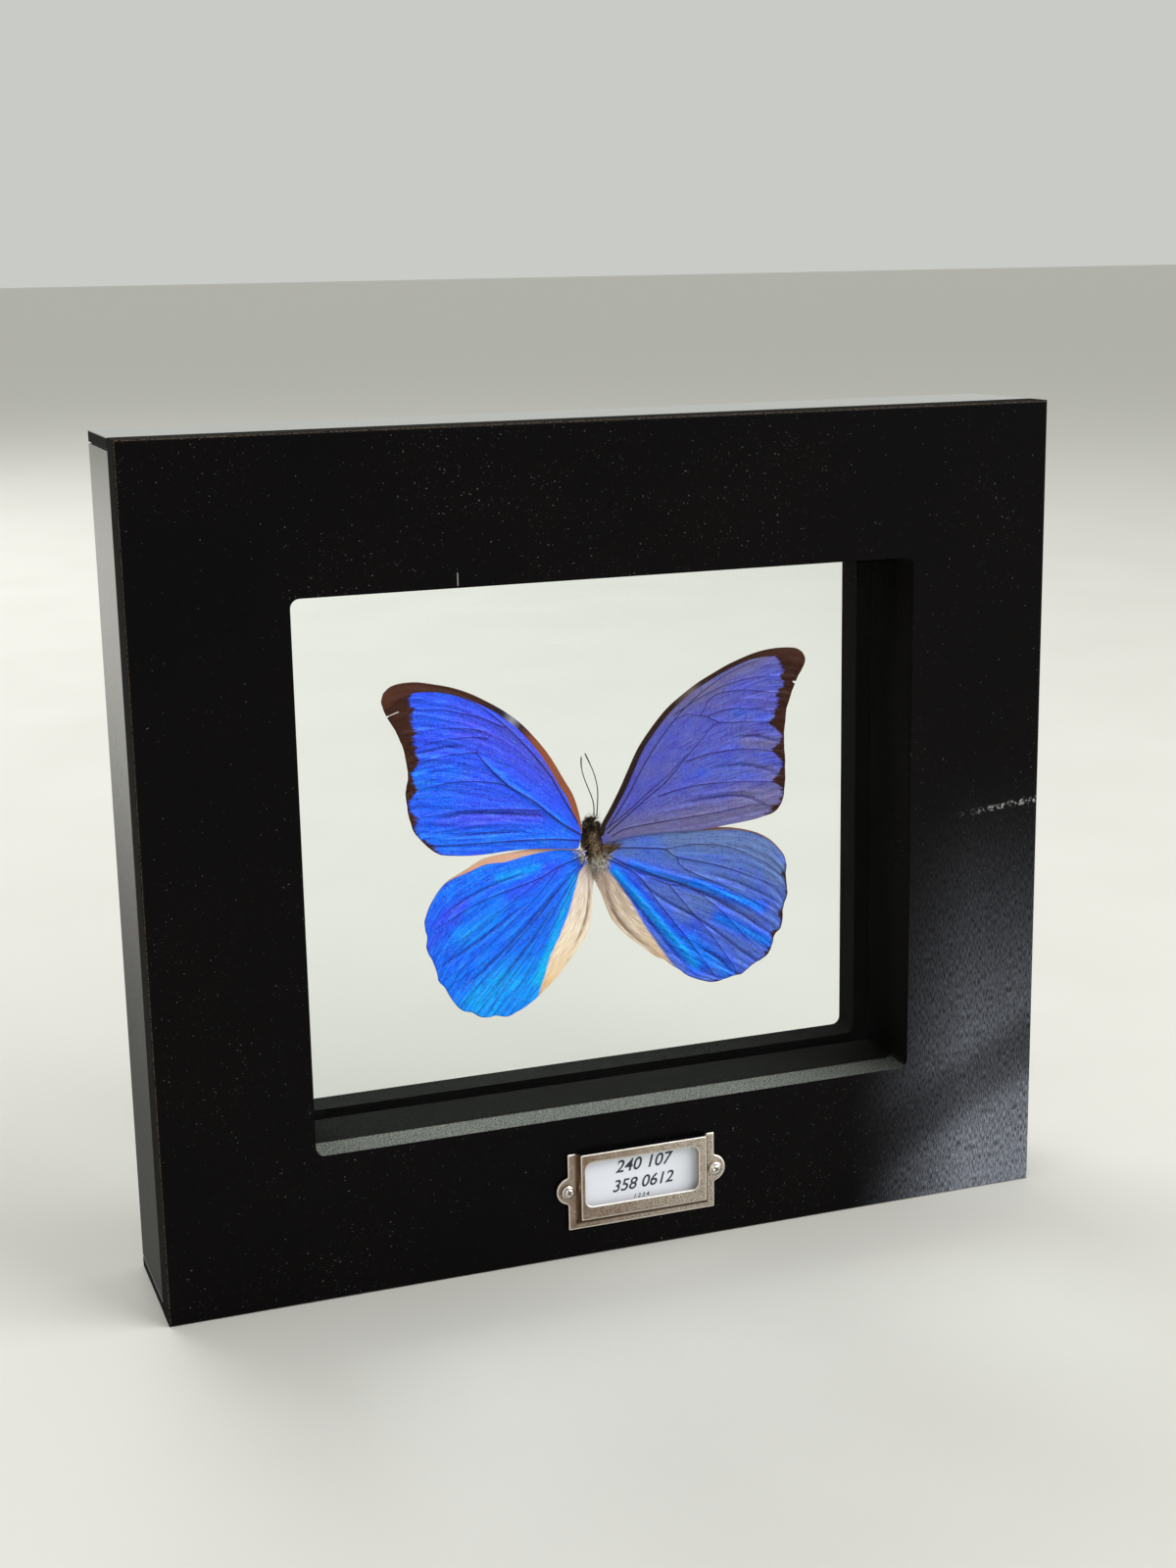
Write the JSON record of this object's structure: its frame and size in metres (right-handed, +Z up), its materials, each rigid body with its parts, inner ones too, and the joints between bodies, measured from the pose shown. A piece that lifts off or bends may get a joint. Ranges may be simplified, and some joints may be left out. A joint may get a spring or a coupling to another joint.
{
  "type": "framed butterfly specimen",
  "caption": "Spread blue butterfly sealed behind glass in a deep black box frame, with a pressed metal label holder below the window.",
  "frame": {"origin": "middle of the frame's underside, half-way between its front and back faces", "axes": "+X to the right seen from the front, +Y from the front to the back, +Z up; the front window and label face -Y"},
  "size_m": [0.25, 0.043, 0.224],
  "materials": {
    "painted_board": "satin black paint on fibreboard, cut edges rougher",
    "spacer_paint": "dark matt paint on wood bars",
    "clear_glass": "clear float glass with a little dust",
    "satin_nickel": "satin nickel plate on pressed steel",
    "paper_card": "matt white paper card with plain printed digits",
    "body_hair": "dry dark brown and grey hair",
    "antenna_horn": "thin dark brown horn",
    "blue_scales": "iridescent blue and violet wing scales with dark brown margins"
  },
  "bodies": {
    "root": {"front_panel": "painted_board", "back_panel": "painted_board", "top_board": "painted_board", "bottom_board": "painted_board", "left_board": "painted_board", "right_board": "painted_board", "front_pane": "clear_glass", "back_pane": "clear_glass", "spacer_top": "spacer_paint", "spacer_bottom": "spacer_paint", "spacer_left": "spacer_paint", "spacer_right": "spacer_paint", "label_holder": "satin_nickel", "label_pin_left": "satin_nickel", "label_pin_right": "satin_nickel", "label_card": "paper_card", "thorax_and_head": "body_hair", "antenna_left": "antenna_horn", "antenna_right": "antenna_horn", "forewing_left": "blue_scales", "forewing_right": "blue_scales", "hindwing_left": "blue_scales", "hindwing_right": "blue_scales"}
  },
  "joints": []
}
